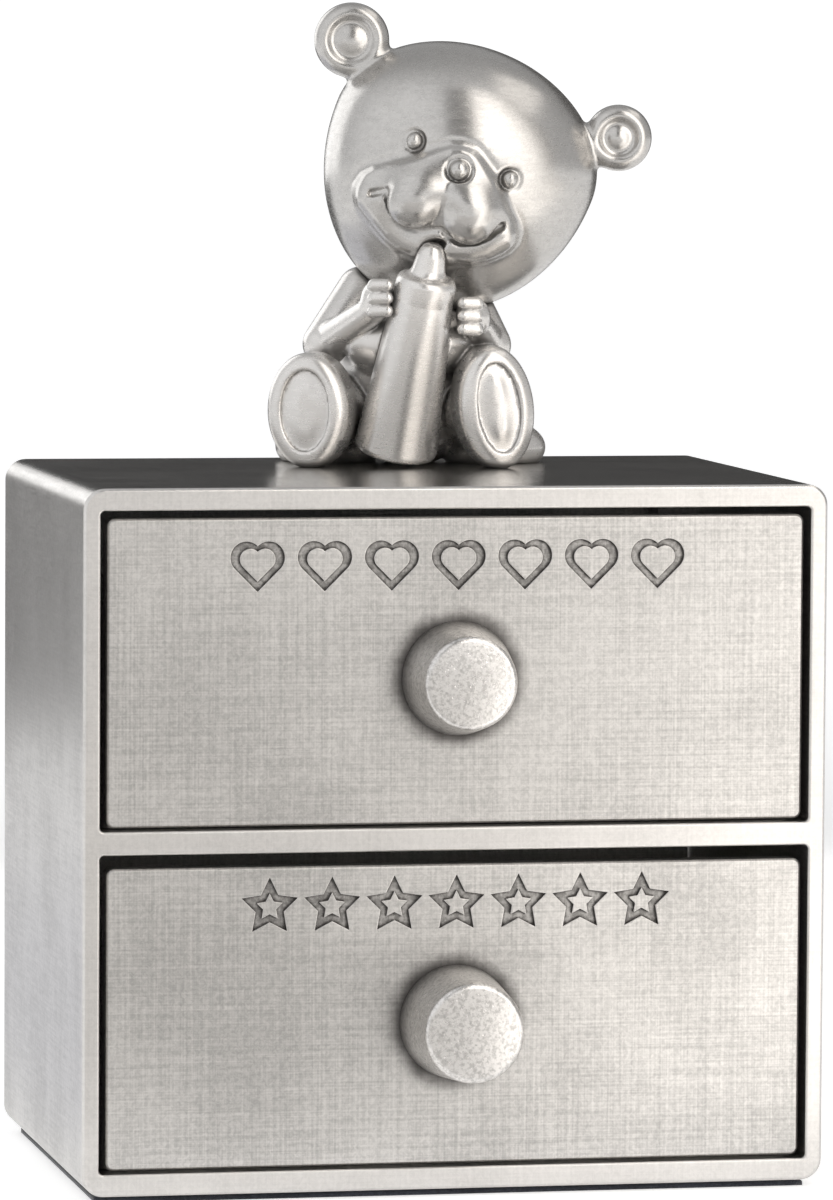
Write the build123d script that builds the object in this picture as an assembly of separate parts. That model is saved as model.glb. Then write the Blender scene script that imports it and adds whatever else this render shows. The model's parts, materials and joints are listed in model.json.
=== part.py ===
"""A cast pewter keepsake chest with two drawers, and a sitting bear with a bottle on its top.

Millimetres. +Z is up and the drawers open towards -Y. The origin is the middle of the felt's
underside, where the chest rests. The bear has a frame of its own, with its origin on the top
of the case: X to its viewer's right, Y to its back and Z up.
"""
import os
from math import asin, cos, hypot, pi, radians, sin, sqrt

from build123d import *

# Case
case_width = 58.0
case_depth = 40.0
case_height = 54.0
side_wall = 1.3
top_wall = 1.7
floor_wall = 1.7
shelf_thickness = 1.8
long_edge_radius = 1.65
rim_bevel = 0.2
opening_bevel = 0.12
opening_corner_radius = 0.35

# Felt under the case
felt_thickness = 0.6
felt_inset = 1.2
felt_corner_radius = 2.0

# Back plate, its corner bosses and its screws
back_plate_thickness = 1.2
back_plate_gap = 0.1
boss_size = 3.6
boss_length = 3.0
back_screw_diameter = 1.6
back_screw_head_diameter = 2.9
back_screw_reach = 2.2
screw_hole_gap = 0.05
thread_end_gap = 0.4
screw_slot_width = 0.45
screw_slot_depth = 0.4

# Drawer fronts
front_thickness = 1.8
front_recess = 0.25
front_side_gap = 0.55
front_bottom_gap = 0.25
upper_front_top_gap = 0.6
lower_front_top_gap = 1.05
front_corner_radius = 0.6
front_bevel = 0.18

# Engraved bands on the fronts
groove_width = 0.55
groove_depth = 0.3
heart_width = 4.2
heart_pitch = 5.2
star_size = 4.6
star_pitch = 4.85
upper_band_drop = 3.9
lower_band_drop = 3.1
motif_count = 7
star_points = 5
star_waist_share = 0.5

# Drawer trays and their linings
tray_wall = 0.8
tray_floor = 0.8
tray_height = 17.0
tray_side_gap = 0.5
glide_gap = 0.1
tray_stop_gap = 0.1
tray_corner_radius = 1.2
lining_thickness = 1.4
lining_gap = 0.2

# Knobs, their screws and washers
knob_foot_diameter = 8.8
upper_knob_face_diameter = 7.0
lower_knob_face_diameter = 7.6
upper_knob_length = 5.4
lower_knob_length = 7.5
knob_crown = 0.25
knob_rim_radius = 0.5
knob_drop = 0.6
knob_foot_bevel = 0.15
knob_screw_diameter = 2.5
knob_screw_head_diameter = 4.6
knob_screw_head_height = 1.5
knob_screw_reach = 3.8
knob_screw_slot_width = 0.7
knob_screw_slot_depth = 0.7
washer_diameter = 6.0
washer_thickness = 0.5

# Bear: where it sits
bear_right = 2.5
bear_from_back = 8.8
bear_turn = -12.0

# Bear: torso, haunches and tail
torso_width = 12.0
torso_depth = 9.6
torso_height = 15.6
torso_sink = 0.4
torso_back = 2.0
belly_width = 9.8
belly_height = 6.8
belly_rise = 10.0
belly_forward = 1.4
haunch_radius = 3.6
haunch_spread = 5.3
haunch_back = 2.9
hip_width = 8.6
hip_height = 4.8
hip_spread = 6.6
tail_radius = 1.6

# Bear: legs and feet
leg_radius = 3.1
left_foot_width = 6.6
right_foot_width = 6.1
left_foot_height = 9.2
right_foot_height = 9.8
foot_thickness = 4.4
foot_forward = 7.9
left_foot_spread = 7.2
right_foot_spread = 5.95
left_foot_splay = -16.0
right_foot_splay = 16.0
left_foot_lean = 0.0
right_foot_lean = -8.0
foot_round = 1.2
foot_sink = 0.1
pad_depth = 0.3
pad_inset = 1.35

# Bear: arms and paws
arm_radius = 1.95
elbow_radius = 1.85
forearm_radius = 1.5
wrist_radius = 1.15
shoulder_rise = 13.8
shoulder_spread = 4.0
left_elbow_spread = 6.8
right_elbow_spread = 6.2
elbow_rise = 9.6
elbow_forward = 1.4
left_paw_rise = 13.6
right_paw_rise = 12.1
paw_forward = 7.6
finger_radius = 0.6
finger_tip_radius = 0.52
finger_pitch = 1.02
finger_length = 1.2
finger_count = 3

# Bear: head and face
head_width = 21.9
crown_height = 8.4
jaw_height = 13.0
head_depth = 18.0
head_right = 4.2
head_forward = 0.3
head_overlap = 3.15
head_tilt = 21.5
left_ear_radius = 3.0
right_ear_radius = 2.65
ear_thickness = 2.6
ear_rim = 1.15
ear_cup_depth = 0.9
ear_sink = 0.65
left_ear_angle = 22.8
right_ear_angle = 26.9
ear_back_share = 0.06
muzzle_width = 14.2
muzzle_height = 10.2
muzzle_rise = 1.4
muzzle_drop_share = 0.35
lip_radius = 2.1
lip_rise = 0.8
lip_place_share = (0.18, -0.355)
chin_width = 7.0
chin_height = 2.4
chin_rise = 0.3
chin_drop_share = 0.63
nose_radius = 0.88
nose_rise = 0.4
nose_drop_share = 0.105
eye_radius = 0.7
eye_rise = 0.3
eye_place_share = (0.374, -0.048)

# Bear: bottle
bottle_base_diameter = 6.8
bottle_shoulder_diameter = 4.7
bottle_length = 12.4
bottle_cap_diameter = 5.0
bottle_cap_length = 1.9
bottle_cap_edge = 0.3
bottle_base_round = 0.5
teat_diameter = 2.5
teat_tip_diameter = 1.6
teat_length = 4.0
bottle_right = -0.5
bottle_forward = 4.6
bottle_lean_right = 9.0
bottle_lean_forward = 14.0
solder_gap = 0.05

# Bear: screws
bear_screw_diameter = 2.0
bear_screw_head_diameter = 3.8
bear_screw_head_height = 1.3
bear_screw_reach = 3.0
bear_screw_slot_width = 0.5
bear_screw_slot_depth = 0.5

# How far a cutting tool runs past the surface that it opens
overrun = 1.0

# Worked out from the sizes above
case_bottom = felt_thickness
case_top = case_bottom + case_height
case_front = -case_depth / 2
case_back = case_depth / 2
inner_width = case_width - 2 * side_wall
inner_bottom = case_bottom + floor_wall
inner_top = case_top - top_wall
opening_height = (inner_top - inner_bottom - shelf_thickness) / 2
shelf_bottom = inner_bottom + opening_height
shelf_top = shelf_bottom + shelf_thickness
plate_front = case_back - back_plate_thickness
boss_front = plate_front - boss_length
front_face = case_front + front_recess
front_back = front_face + front_thickness
front_width = inner_width - 2 * front_side_gap
tray_width = inner_width - 2 * tray_side_gap
tray_back = boss_front - tray_stop_gap
tray_inner_front = front_back + tray_wall


def block(x_low, x_high, y_low, y_high, z_low, z_high):
    """A plain block between two corners."""
    size = (x_high - x_low, y_high - y_low, z_high - z_low)
    middle = ((x_low + x_high) / 2, (y_low + y_high) / 2, (z_low + z_high) / 2)
    return Pos(*middle) * Box(*size)


def along_y(radius, x, z, y_low, y_high):
    """A round bar along Y."""
    length = y_high - y_low
    return Pos(x, y_low, z) * (Rot(-90, 0, 0) * extrude(Circle(radius), amount=length))


def slab(width, height, corner_radius, y_low, y_high, z_low):
    """An upright slab with round corners, its thickness along Y."""
    outline = RectangleRounded(width, height, corner_radius)
    upright = Plane(origin=(0, y_high, z_low + height / 2), x_dir=(1, 0, 0), z_dir=(0, -1, 0))
    return extrude(upright * outline, amount=y_high - y_low)


def ellipsoid(radii, place=(0, 0, 0)):
    """An ellipsoid with its three radii along the axes."""
    return Pos(*place) * scale(Sphere(1), by=radii)


def limb(start, start_radius, end, end_radius):
    """A tapering limb with round ends, between two points."""
    run = Vector(*end) - Vector(*start)
    length = run.length
    lean = asin((start_radius - end_radius) / length)
    near = (start_radius * cos(lean), start_radius * sin(lean))
    far = (end_radius * cos(lean), length + end_radius * sin(lean))
    near_middle = (lean - pi / 2) / 2
    far_middle = (lean + pi / 2) / 2
    bulge_near = (start_radius * cos(near_middle), start_radius * sin(near_middle))
    bulge_far = (end_radius * cos(far_middle), length + end_radius * sin(far_middle))
    outline = (
        ThreePointArc((0, -start_radius), bulge_near, near)
        + Line(near, far)
        + ThreePointArc(far, bulge_far, (0, length + end_radius))
        + Line((0, length + end_radius), (0, -start_radius))
    )
    solid = revolve(make_face(Plane.XZ * outline), Axis.Z)
    return Plane(origin=start, z_dir=run) * solid


def place_bear(solid):
    """Moves a solid from the bear's own frame to its seat on the case."""
    seat = Pos(bear_right, case_back - bear_from_back, case_top)
    return seat * Rot(0, 0, bear_turn) * solid


def above_seat(solid):
    """Cuts a solid of the bear flat where it sits on the case."""
    reach = 2 * (torso_height + jaw_height)
    return solid & block(-reach, reach, -reach, reach, 0, 2 * reach)


# Case

def corner_boss_places():
    """The middles of the four bosses that take the back plate's screws."""
    x = inner_width / 2 - boss_size / 2
    heights = (inner_bottom + boss_size / 2, inner_top - boss_size / 2)
    return [(side * x, z) for z in heights for side in (-1, 1)]


def bear_screw_places():
    """Where the bear's two screws come up through the top of the case."""
    return [place_bear(Pos(side * haunch_spread, haunch_back, 0) * Vertex(0, 0, 0)).center()
            for side in (-1, 1)]


def make_case_shell():
    outline = RectangleRounded(case_width, case_height, long_edge_radius)
    upright = Plane(origin=(0, case_back, case_bottom + case_height / 2),
                    x_dir=(1, 0, 0), z_dir=(0, -1, 0))
    shell = extrude(upright * outline, amount=case_depth)
    rim = shell.faces().sort_by(Axis.Y)[0].edges()
    shell = chamfer(rim, rim_bevel)
    for low in (inner_bottom, shelf_top):
        shell -= slab(inner_width, opening_height, opening_corner_radius,
                      case_front - overrun, case_back + overrun, low)
    edges = shell.edges().filter_by_position(Axis.Y, case_front, case_front)
    inner = [edge for edge in edges if abs(edge.center().X) < inner_width / 2 + rim_bevel / 2
             and inner_bottom - rim_bevel < edge.center().Z < inner_top + rim_bevel]
    shell = chamfer(inner, opening_bevel)
    shell -= block(-inner_width / 2, inner_width / 2, plate_front, case_back + overrun,
                   inner_bottom, inner_top)
    for x, z in corner_boss_places():
        shell += block(x - boss_size / 2, x + boss_size / 2, boss_front, plate_front,
                       z - boss_size / 2, z + boss_size / 2)
    pilot = back_screw_diameter / 2 + screw_hole_gap
    for x, z in corner_boss_places():
        shell -= along_y(pilot, x, z, plate_front - back_screw_reach - thread_end_gap,
                         plate_front + overrun)
    for place in bear_screw_places():
        hole = extrude(Circle(bear_screw_diameter / 2 + screw_hole_gap),
                       amount=top_wall + 2 * overrun)
        shell -= Pos(place.X, place.Y, inner_top - overrun) * hole
    return shell


def make_back_plate():
    half = inner_width / 2 - back_plate_gap
    plate = block(-half, half, plate_front, case_back,
                  inner_bottom + back_plate_gap, inner_top - back_plate_gap)
    for x, z in corner_boss_places():
        plate -= along_y(back_screw_diameter / 2 + screw_hole_gap, x, z,
                         plate_front - overrun, case_back + overrun)
        plate -= countersink(x, z, screw_hole_gap)
    return plate


def countersink(x, z, gap):
    """The cone of a flush screw head, grown by a gap."""
    head = back_screw_head_diameter / 2 + gap
    shank = back_screw_diameter / 2 + gap
    depth = head - shank
    cone = Cone(bottom_radius=shank, top_radius=head, height=depth,
                align=(Align.CENTER, Align.CENTER, Align.MAX))
    return Pos(x, case_back, z) * (Rot(-90, 0, 0) * cone)


def make_back_plate_screws():
    screws = []
    for x, z in corner_boss_places():
        screw = countersink(x, z, 0)
        screw += along_y(back_screw_diameter / 2, x, z,
                         plate_front - back_screw_reach, case_back - screw_slot_depth)
        half = screw_slot_width / 2
        screw -= block(x - back_screw_head_diameter, x + back_screw_head_diameter,
                       case_back - screw_slot_depth, case_back + overrun, z - half, z + half)
        screws.append(screw)
    return screws


def make_base_felt():
    outline = RectangleRounded(case_width - 2 * felt_inset, case_depth - 2 * felt_inset,
                               felt_corner_radius)
    return extrude(outline, amount=felt_thickness)


# Drawers

class Drawer:
    """The places that one drawer's pieces share."""

    def __init__(self, name, floor, top_gap, band_drop, motif, size, pitch,
                 knob_length, knob_face):
        self.name = name
        self.low = floor + front_bottom_gap
        self.high = floor + opening_height - top_gap
        self.knob_middle = (self.low + self.high) / 2 - knob_drop
        self.tray_low = floor + glide_gap
        self.band = self.high - band_drop
        self.motif = motif
        self.size = size
        self.pitch = pitch
        self.knob_length = knob_length
        self.knob_face = knob_face


def heart(width, inset=0):
    """A heart: a square on its corner and a circle on each upper side, drawn in by inset."""
    side = width / (1 + 1 / sqrt(2))
    middle = side * (sqrt(2) - 1) / 2
    share = 1 - inset / (side / 2 + middle / sqrt(2))
    inner = side * share
    lobe = inner / (2 * sqrt(2))
    shape = Rot(0, 0, 45) * Rectangle(inner, inner)
    for way in (-1, 1):
        shape += Pos(way * lobe, lobe) * Circle(inner / 2)
    return Pos(0, middle * (1 - share)) * shape


def star(width, inset=0):
    """A star whose straight sides are drawn in by inset."""
    tip = width / 2
    waist = tip * star_waist_share
    step = pi / star_points
    side = hypot(waist * sin(step), tip - waist * cos(step))
    share = 1 - inset * side / (tip * waist * sin(step))
    points = []
    for i in range(2 * star_points):
        radius = (waist if i % 2 else tip) * share
        turn = pi / 2 + i * step
        points.append((radius * cos(turn), radius * sin(turn)))
    return Polygon(*points, align=None)


def engraving(drawer):
    """The grooves of the band: the outlines of its motifs, one after another."""
    outline = drawer.motif(drawer.size) - drawer.motif(drawer.size, groove_width)
    face = Plane(origin=(0, front_face + groove_depth, drawer.band),
                 x_dir=(1, 0, 0), z_dir=(0, -1, 0))
    groove = extrude(face * outline, amount=groove_depth + overrun)
    first = -(motif_count - 1) / 2 * drawer.pitch
    return [Pos(first + i * drawer.pitch, 0, 0) * groove for i in range(motif_count)]


def make_drawer_front(drawer):
    front = slab(front_width, drawer.high - drawer.low, front_corner_radius,
                 front_face, front_back, drawer.low)
    front = chamfer(front.faces().sort_by(Axis.Y)[0].edges(), front_bevel)
    for groove in engraving(drawer):
        front -= groove
    return front - along_y(knob_screw_diameter / 2 + screw_hole_gap, 0, drawer.knob_middle,
                           front_face - overrun, front_back + overrun)


def make_drawer_tray(drawer):
    length = tray_back - front_back
    middle = (0, (tray_back + front_back) / 2, drawer.tray_low)
    outside = RectangleRounded(tray_width, length, tray_corner_radius)
    inside = RectangleRounded(tray_width - 2 * tray_wall, length - 2 * tray_wall,
                              tray_corner_radius - tray_wall / 2)
    tray = extrude(Pos(*middle) * outside, amount=tray_height)
    tray -= extrude(Pos(*middle) * (Pos(0, 0, tray_floor) * inside), amount=tray_height)
    return tray - along_y(knob_screw_diameter / 2 + screw_hole_gap, 0, drawer.knob_middle,
                          front_back - overrun, tray_inner_front + overrun)


def make_drawer_lining(drawer):
    width = tray_width - 2 * tray_wall - 2 * lining_gap
    length = tray_back - front_back - 2 * tray_wall - 2 * lining_gap
    pad = RectangleRounded(width, length, tray_corner_radius)
    floor = drawer.tray_low + tray_floor
    return extrude(Pos(0, (tray_back + front_back) / 2, floor) * pad, amount=lining_thickness)


def make_knob(drawer):
    """A knob that narrows to a slightly crowned face."""
    cone = Cone(knob_foot_diameter / 2, drawer.knob_face / 2, drawer.knob_length,
                align=(Align.CENTER, Align.CENTER, Align.MIN))
    crown_radius = ((drawer.knob_face / 2) ** 2 + knob_crown ** 2) / (2 * knob_crown)
    crown = Pos(0, 0, drawer.knob_length - crown_radius) * Rot(90, 0, 0) * Sphere(crown_radius)
    knob = Pos(0, front_face, drawer.knob_middle) * (Rot(90, 0, 0) * (cone & crown))
    knob = fillet(knob.edges().sort_by(Axis.Y)[0], knob_rim_radius)
    knob = chamfer(knob.edges().sort_by(Axis.Y)[-1], knob_foot_bevel)
    return knob - along_y(knob_screw_diameter / 2 + screw_hole_gap, 0, drawer.knob_middle,
                          front_face - knob_screw_reach - thread_end_gap, front_face + overrun)


def make_knob_washer(drawer):
    start = tray_inner_front
    washer = along_y(washer_diameter / 2, 0, drawer.knob_middle, start, start + washer_thickness)
    return washer - along_y(knob_screw_diameter / 2 + screw_hole_gap, 0, drawer.knob_middle,
                            start - overrun, start + washer_thickness + overrun)


def make_knob_screw(drawer):
    seat = tray_inner_front + washer_thickness
    end = seat + knob_screw_head_height
    screw = along_y(knob_screw_diameter / 2, 0, drawer.knob_middle,
                    front_face - knob_screw_reach, seat)
    head = along_y(knob_screw_head_diameter / 2, 0, drawer.knob_middle, seat, end)
    head = fillet(head.edges().sort_by(Axis.Y)[-1], knob_screw_head_height / 2)
    half = knob_screw_slot_width / 2
    reach = knob_screw_head_diameter
    slot = block(-reach, reach, end - knob_screw_slot_depth, end + overrun,
                 drawer.knob_middle - half, drawer.knob_middle + half)
    return screw + head - slot


# Bear

torso_middle = (0, torso_back, torso_height / 2 - torso_sink)
torso_top = torso_height - torso_sink
head_middle = (head_right, -head_forward, torso_top - head_overlap + jaw_height)


def head_frame(solid):
    """Moves a solid from the head's own frame to the head's place and tilt."""
    return Pos(*head_middle) * Rot(0, head_tilt, 0) * solid


def face_point(right_share, up_share):
    """A point on the face, from shares of the half width and of the crown's or jaw's height."""
    depth = sqrt(1 - right_share ** 2 - up_share ** 2)
    height = crown_height if up_share > 0 else jaw_height
    return (right_share * head_width / 2, -depth * head_depth / 2, up_share * height)


def bump(place, radii, rise):
    """A swelling on the face that stands out by its rise."""
    x, y, z = place
    return ellipsoid(radii, (x, y + radii[1] - rise, z))


def make_skull():
    """An egg in four quarters, so that no face of it closes on itself."""
    half_width = head_width / 2
    half_depth = head_depth / 2
    skull = None
    for low, high, height in ((0, 90, crown_height), (-90, 0, jaw_height)):
        for turn in (0, 180):
            quarter = Rot(0, 0, turn) * Sphere(1, arc_size1=low, arc_size2=high,
                                               arc_size3=180, align=None)
            quarter = scale(quarter, by=(half_width, half_depth, height))
            skull = quarter if skull is None else skull + quarter
    return skull


def make_ear(side, ear_radius, ear_angle):
    """A thick round ear with a cup in its front and a soft dome in the cup."""
    turn = radians(ear_angle)
    reach = 1 / hypot(cos(turn) / (head_width / 2), sin(turn) / crown_height)
    reach += ear_radius - ear_sink
    middle = (side * reach * cos(turn), -ear_back_share * head_depth, reach * sin(turn))
    front = middle[1] - ear_thickness / 2
    ear = along_y(ear_radius, middle[0], middle[2], front, front + ear_thickness)
    ear = fillet(ear.edges().sort_by(Axis.Y)[0], ear_rim / 2)
    ear = fillet(ear.edges().sort_by(Axis.Y)[-1], ear_thickness / 2)
    cup = ear_radius - ear_rim
    ear -= along_y(cup, middle[0], middle[2], front - overrun, front + ear_cup_depth)
    dome = (cup - ear_rim / 2, ear_cup_depth, cup - ear_rim / 2)
    return ear + ellipsoid(dome, (middle[0], front + ear_cup_depth, middle[2]))


def make_bear_head():
    head = make_skull()
    head += make_ear(-1, left_ear_radius, left_ear_angle)
    head += make_ear(1, right_ear_radius, right_ear_angle)
    muzzle_depth = muzzle_height / 2
    head += bump(face_point(0, -muzzle_drop_share),
                 (muzzle_width / 2, muzzle_depth, muzzle_height / 2), muzzle_rise)
    lip_right, lip_up = lip_place_share
    for side in (-1, 1):
        head += bump(face_point(side * lip_right, lip_up),
                     (lip_radius, lip_radius, lip_radius), muzzle_rise + lip_rise)
    head += bump(face_point(0, -chin_drop_share),
                 (chin_width / 2, chin_height / 2, chin_height / 2), muzzle_rise + chin_rise)
    head += bump(face_point(0, -nose_drop_share), (nose_radius, nose_radius, nose_radius),
                 muzzle_rise / 2 + nose_rise)
    eye_right, eye_up = eye_place_share
    for side in (-1, 1):
        head += bump(face_point(side * eye_right, eye_up),
                     (eye_radius, eye_radius, eye_radius), eye_rise)
    return head_frame(head) - make_bottle(solder_gap)


def bottle_place():
    """The frame at the middle of the bottle's base: the base's lowest edge is on the seat."""
    lean = Rot(bottle_lean_forward, bottle_lean_right, 0)
    upright = cos(radians(bottle_lean_forward)) * cos(radians(bottle_lean_right))
    rise = bottle_base_diameter / 2 * sqrt(1 - upright ** 2)
    return Pos(bottle_right, -bottle_forward, rise) * lean


def make_bottle(gap=0):
    """The bottle, or with a gap the room that it takes in the body and the head."""
    base = bottle_base_diameter / 2 + gap
    shoulder = bottle_shoulder_diameter / 2 + gap
    cap = bottle_cap_diameter / 2 + gap
    teat = teat_diameter / 2 + gap
    tip = teat_tip_diameter / 2 + gap
    cap_top = bottle_length + bottle_cap_length
    teat_top = cap_top + teat_length
    outline = Polyline(
        (0, 0),
        (base - bottle_base_round, 0),
        (base, bottle_base_round),
        (shoulder, bottle_length),
        (cap, bottle_length),
        (cap, cap_top - bottle_cap_edge),
        (cap - bottle_cap_edge, cap_top),
        (teat, cap_top),
        (tip, teat_top - tip),
        (tip / 2, teat_top),
        (0, teat_top),
        close=True,
    )
    return bottle_place() * revolve(make_face(Plane.XZ * outline), Axis.Z)


def make_foot(side, spread, width, height, splay, lean):
    """An oval foot with its sole to the front, and a sunk ring round its pad."""
    sole = Ellipse(width / 2, height / 2)
    foot = extrude(sole, amount=foot_thickness)
    foot = fillet(foot.edges().sort_by(Axis.Z)[-1], foot_round)
    pad_width = width / 2 - pad_inset
    pad_height = height / 2 - pad_inset
    pad = Ellipse(pad_width, pad_height)
    foot -= Pos(0, 0, foot_thickness - pad_depth) * extrude(pad, amount=overrun)
    soft = (pad_width - pad_depth, pad_height - pad_depth, pad_depth)
    foot += ellipsoid(soft, (0, 0, foot_thickness - pad_depth))
    stand = Pos(side * spread, foot_thickness - foot_forward, height / 2 - foot_sink)
    return stand * Rot(0, lean, splay) * Rot(90, 0, 0) * foot


def make_leg(side, spread, height):
    """A thigh from the haunch to the back of the foot."""
    hip = (side * haunch_spread, haunch_back, haunch_radius)
    ankle = (side * spread, foot_thickness - foot_forward, height / 2)
    return limb(hip, haunch_radius, ankle, leg_radius)


def arm_pieces(side, elbow_spread, paw_rise):
    """An upper arm, a forearm that comes round to the bottle, and a paw's fingers."""
    shoulder = (side * shoulder_spread, torso_back - arm_radius / 2, shoulder_rise)
    elbow = (side * elbow_spread, -elbow_forward, elbow_rise)
    share = paw_rise / (bottle_length + bottle_cap_length)
    spot = bottle_place() * Pos(0, 0, share * bottle_length) * Vertex(0, 0, 0)
    grip = spot.center()
    wrist = (grip.X + side * (bottle_shoulder_diameter / 2 + wrist_radius), -paw_forward, paw_rise)
    pieces = [limb(shoulder, arm_radius, elbow, elbow_radius),
              limb(elbow, forearm_radius, wrist, wrist_radius)]
    for i in range(finger_count):
        step = (i - (finger_count - 1) / 2) * finger_pitch
        knuckle = (wrist[0] + side * finger_length / 2, wrist[1] - wrist_radius / 2,
                   wrist[2] + step)
        tip = (wrist[0] - side * finger_length / 2, wrist[1] - wrist_radius, wrist[2] + step)
        pieces.append(limb(knuckle, finger_radius, tip, finger_tip_radius))
    return pieces


def make_bear_body(head):
    torso = ellipsoid((torso_width / 2, torso_depth / 2, torso_height / 2), torso_middle)
    belly = (belly_width / 2, belly_width / 2, belly_height / 2)
    pieces = [ellipsoid(belly, (0, -belly_forward, belly_rise))]
    tail = Pos(0, torso_back + torso_depth / 2 - tail_radius / 2, haunch_radius)
    pieces.append(tail * Sphere(tail_radius))
    sides = ((-1, left_foot_spread, left_foot_width, left_foot_height, left_foot_splay,
              left_foot_lean, left_elbow_spread, left_paw_rise),
             (1, right_foot_spread, right_foot_width, right_foot_height, right_foot_splay,
              right_foot_lean, right_elbow_spread, right_paw_rise))
    hip = (hip_width / 2, hip_width / 2, hip_height / 2)
    for side, spread, width, height, splay, lean, elbow_spread, paw_rise in sides:
        pieces.append(ellipsoid(hip, (side * hip_spread, haunch_back, hip_height / 4)))
        pieces.append(make_leg(side, spread, height))
        pieces.append(make_foot(side, spread, width, height, splay, lean))
        pieces += arm_pieces(side, elbow_spread, paw_rise)
    body = above_seat(torso.fuse(*pieces)) - make_bottle(solder_gap) - head
    hole = Cylinder(bear_screw_diameter / 2 + screw_hole_gap,
                    bear_screw_reach + thread_end_gap + overrun,
                    align=(Align.CENTER, Align.CENTER, Align.MIN))
    for side in (-1, 1):
        body -= Pos(side * haunch_spread, haunch_back, -overrun) * hole
    return body


def make_bear_screws():
    screws = []
    for place in bear_screw_places():
        shank = Cylinder(bear_screw_diameter / 2, bear_screw_reach + top_wall,
                         align=(Align.CENTER, Align.CENTER, Align.MIN))
        head = Cylinder(bear_screw_head_diameter / 2, bear_screw_head_height,
                        align=(Align.CENTER, Align.CENTER, Align.MAX))
        head = fillet(head.edges().sort_by(Axis.Z)[0], bear_screw_head_height / 2)
        reach = bear_screw_head_diameter
        half = bear_screw_slot_width / 2
        slot = block(-reach, reach, -half, half, -bear_screw_head_height - overrun,
                     bear_screw_slot_depth - bear_screw_head_height)
        screws.append(Pos(place.X, place.Y, inner_top) * (shank + head - slot))
    return screws


def main_solids(shape):
    """The solids of a shape, without the slivers that a cut can leave."""
    solids = shape.solids()
    largest = max(solid.volume for solid in solids)
    return [solid for solid in solids if solid.volume > largest / 100]


def write(name, shape):
    """Writes one node as one STEP file."""
    solids = shape if isinstance(shape, list) else main_solids(shape)
    parts = [piece for item in solids for piece in item.solids()]
    export_step(Compound(children=parts) if len(parts) > 1 else parts[0],
                os.path.join("parts", name + ".step"))


os.makedirs("parts", exist_ok=True)
write("case_shell", make_case_shell())
write("back_plate", make_back_plate())
write("back_plate_screws", make_back_plate_screws())
write("base_felt", make_base_felt())

drawers = [
    Drawer("upper", shelf_top, upper_front_top_gap, upper_band_drop,
           heart, heart_width, heart_pitch, upper_knob_length, upper_knob_face_diameter),
    Drawer("lower", inner_bottom, lower_front_top_gap, lower_band_drop,
           star, star_size, star_pitch, lower_knob_length, lower_knob_face_diameter),
]
for one in drawers:
    write(one.name + "_drawer_front", make_drawer_front(one))
    write(one.name + "_drawer_tray", make_drawer_tray(one))
    write(one.name + "_drawer_lining", make_drawer_lining(one))
    write(one.name + "_knob", make_knob(one))
    write(one.name + "_knob_washer", make_knob_washer(one))
    write(one.name + "_knob_screw", make_knob_screw(one))

head = make_bear_head()
write("bear_bottle", place_bear(make_bottle()))
write("bear_head", place_bear(head))
write("bear_body", place_bear(make_bear_body(head)))
write("bear_screws", make_bear_screws())
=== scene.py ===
# %% [markdown]
# # A cast pewter keepsake chest, dressed in Blender
# The chest is a small cast case with two drawers, and a bear sits on its top with a bottle.
# Its construction comes in as a fixed frame: every plate, drawer and screw at its real size.
# This lesson gives those pieces their finish, sculpts the bear as a smooth casting, lays the
# felt and the velvet, and lights it all as in a small studio.

import json
import math

import bpy
import numpy as np
from mathutils import Matrix, Vector

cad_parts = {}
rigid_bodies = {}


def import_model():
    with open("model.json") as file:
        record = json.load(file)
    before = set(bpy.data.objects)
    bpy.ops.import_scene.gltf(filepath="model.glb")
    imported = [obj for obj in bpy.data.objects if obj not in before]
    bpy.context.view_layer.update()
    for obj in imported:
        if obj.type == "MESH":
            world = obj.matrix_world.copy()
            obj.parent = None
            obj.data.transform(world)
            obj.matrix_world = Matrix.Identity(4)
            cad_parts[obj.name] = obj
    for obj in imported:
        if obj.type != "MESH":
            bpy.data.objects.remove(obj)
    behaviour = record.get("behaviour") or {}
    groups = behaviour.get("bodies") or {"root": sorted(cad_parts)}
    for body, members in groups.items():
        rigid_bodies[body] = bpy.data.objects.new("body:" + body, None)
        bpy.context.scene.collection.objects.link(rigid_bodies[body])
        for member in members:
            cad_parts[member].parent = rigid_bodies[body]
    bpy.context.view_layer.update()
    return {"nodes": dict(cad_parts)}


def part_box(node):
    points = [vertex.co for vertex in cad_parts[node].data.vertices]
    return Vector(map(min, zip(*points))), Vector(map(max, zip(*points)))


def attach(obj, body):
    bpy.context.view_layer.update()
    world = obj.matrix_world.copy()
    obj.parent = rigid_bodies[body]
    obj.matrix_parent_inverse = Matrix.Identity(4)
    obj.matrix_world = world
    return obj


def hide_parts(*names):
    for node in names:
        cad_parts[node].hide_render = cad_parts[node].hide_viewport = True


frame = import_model()
MM = 0.001

# %% [markdown]
# ## Where things are
# Nothing is fitted by eye: the top of the case and the front of the drawers are read from the
# frame. The bear's seat and its turn follow from the two screws that hold it. They come up
# into its haunches, so the line between them is the bear's own left-to-right line.

# %% Read the places that the scene builds on
case_low, case_high = (Vector(p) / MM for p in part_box("case_shell"))
front_low = Vector(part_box("upper_drawer_front")[0]) / MM
screws_low, screws_high = (Vector(p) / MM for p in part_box("bear_screws"))
case_top = case_high.z

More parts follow.
